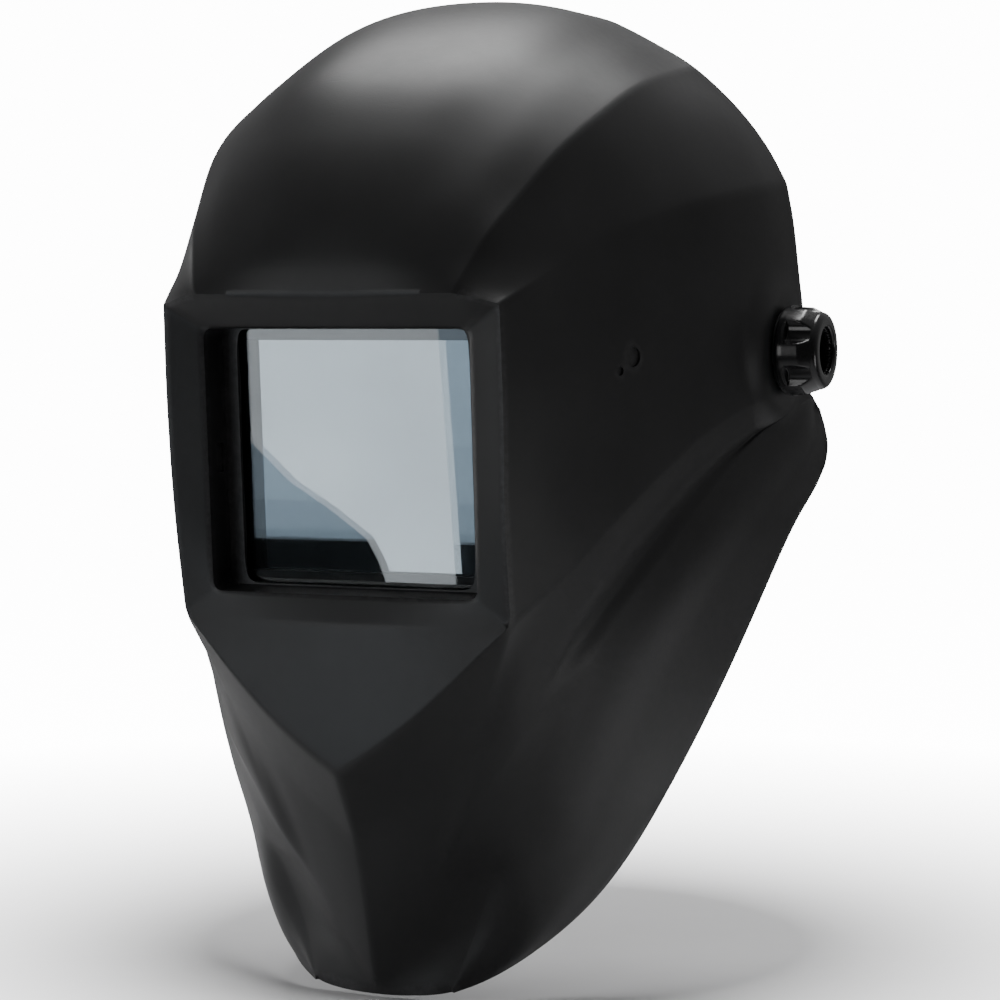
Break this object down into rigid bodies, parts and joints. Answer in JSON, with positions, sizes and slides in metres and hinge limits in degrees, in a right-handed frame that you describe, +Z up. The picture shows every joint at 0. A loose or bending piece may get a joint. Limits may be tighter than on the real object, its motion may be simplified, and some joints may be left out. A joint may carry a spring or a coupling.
{
  "type": "welding helmet",
  "caption": "Passive welding helmet: moulded black face shell with a deep rectangular window, tipping on side knobs on a ratchet headband with crown strap.",
  "frame": {"origin": "on the tipping axis of the shell, midway between the two side pivots, where the wearer's head holds the part", "axes": "+X to the wearer's left, -Y forwards through the window, +Z up"},
  "size_m": [0.2416, 0.2716, 0.3367],
  "materials": {
    "shell_plastic": "fine-textured satin black",
    "knob_plastic": "glossy black",
    "frame_plastic": "matte black",
    "band_plastic": "satin black",
    "clear_glass": "clear, polished",
    "dark_glass": "dark green, polished",
    "rubber": "matte",
    "sweat_pad": "woven cover over foam",
    "steel": "zinc-plated",
    "brass": "turned"
  },
  "bodies": {
    "headgear": {"front_headband": "band_plastic", "sweatband": "sweat_pad", "side_plate_left": "band_plastic", "side_plate_right": "band_plastic", "crown_stud_left": "band_plastic", "crown_stud_right": "band_plastic", "plate_rivet_left_front": "steel", "plate_rivet_left_rear": "steel", "plate_rivet_right_front": "steel", "plate_rivet_right_rear": "steel"},
    "pivot_arms": {"pivot_bolt_left": "steel", "pivot_bolt_right": "steel", "pivot_block_left": "knob_plastic", "pivot_block_right": "knob_plastic", "angle_stop_left": "knob_plastic", "angle_stop_right": "knob_plastic", "friction_washer_left": "rubber", "friction_washer_right": "rubber"},
    "shell": {"shell": "shell_plastic", "cover_glass": "clear_glass", "filter_seat": "frame_plastic", "filter_glass": "dark_glass", "glass_seal": "rubber", "inner_plate": "clear_glass", "retainer_frame": "frame_plastic", "lens_holder": "frame_plastic", "clip_screw_left": "steel", "clip_screw_right": "steel"},
    "clip_left": {"glass_clip_left": "knob_plastic"},
    "clip_right": {"glass_clip_right": "knob_plastic"},
    "knob_left": {"knob_left": "knob_plastic", "knob_insert_left": "brass"},
    "knob_right": {"knob_right": "knob_plastic", "knob_insert_right": "brass"},
    "rear_unit": {"ratchet_housing": "band_plastic", "ratchet_cover": "band_plastic", "rear_pad": "sweat_pad", "rear_strap_left": "band_plastic", "rear_strap_right": "band_plastic"},
    "ratchet_knob": {"ratchet_knob": "knob_plastic", "ratchet_pinion": "band_plastic"},
    "crown": {"crown_peg": "band_plastic", "crown_strap_left": "band_plastic", "crown_strap_right": "band_plastic"}
  },
  "joints": [
    {"name": "fore_aft_slide", "type": "slide", "parent": "headgear", "child": "pivot_arms", "axis": [0, -1, 0], "range_m": [-0.004, 0.012]},
    {"name": "shell_tilt", "type": "hinge", "parent": "pivot_arms", "child": "shell", "pos_m": [0, 0, 0], "axis": [-1, 0, 0], "range_deg": [0, 68]},
    {"name": "knob_left_turn", "type": "hinge", "parent": "pivot_arms", "child": "knob_left", "pos_m": [0.1136, 0, 0], "axis": [1, 0, 0], "range_deg": [-90, 270]},
    {"name": "knob_right_turn", "type": "hinge", "parent": "pivot_arms", "child": "knob_right", "pos_m": [-0.1136, 0, 0], "axis": [-1, 0, 0], "range_deg": [-90, 270]},
    {"name": "clip_left_turn", "type": "hinge", "parent": "shell", "child": "clip_left", "pos_m": [0.0595, -0.10547, -0.03328], "axis": [0, 0.9976, 0.0698], "range_deg": [0, 90]},
    {"name": "clip_right_turn", "type": "hinge", "parent": "shell", "child": "clip_right", "pos_m": [-0.0595, -0.10547, -0.03328], "axis": [0, -0.9976, -0.0698], "range_deg": [0, 90]},
    {"name": "rear_band_slide", "type": "slide", "parent": "headgear", "child": "rear_unit", "axis": [0, 1, 0], "range_m": [-0.012, 0.01]},
    {"name": "size_ratchet_turn", "type": "hinge", "parent": "rear_unit", "child": "ratchet_knob", "pos_m": [0, 0.1192, -0.032], "axis": [0, 1, 0], "range_deg": [-100, 100]},
    {"name": "crown_height_slide", "type": "slide", "parent": "headgear", "child": "crown", "axis": [0, 0, 1], "range_m": [-0.012, 0.004]}
  ],
  "couplings": [
    {"joint": "size_ratchet_turn", "follows": "rear_band_slide", "rad_per_m": 137}
  ]
}
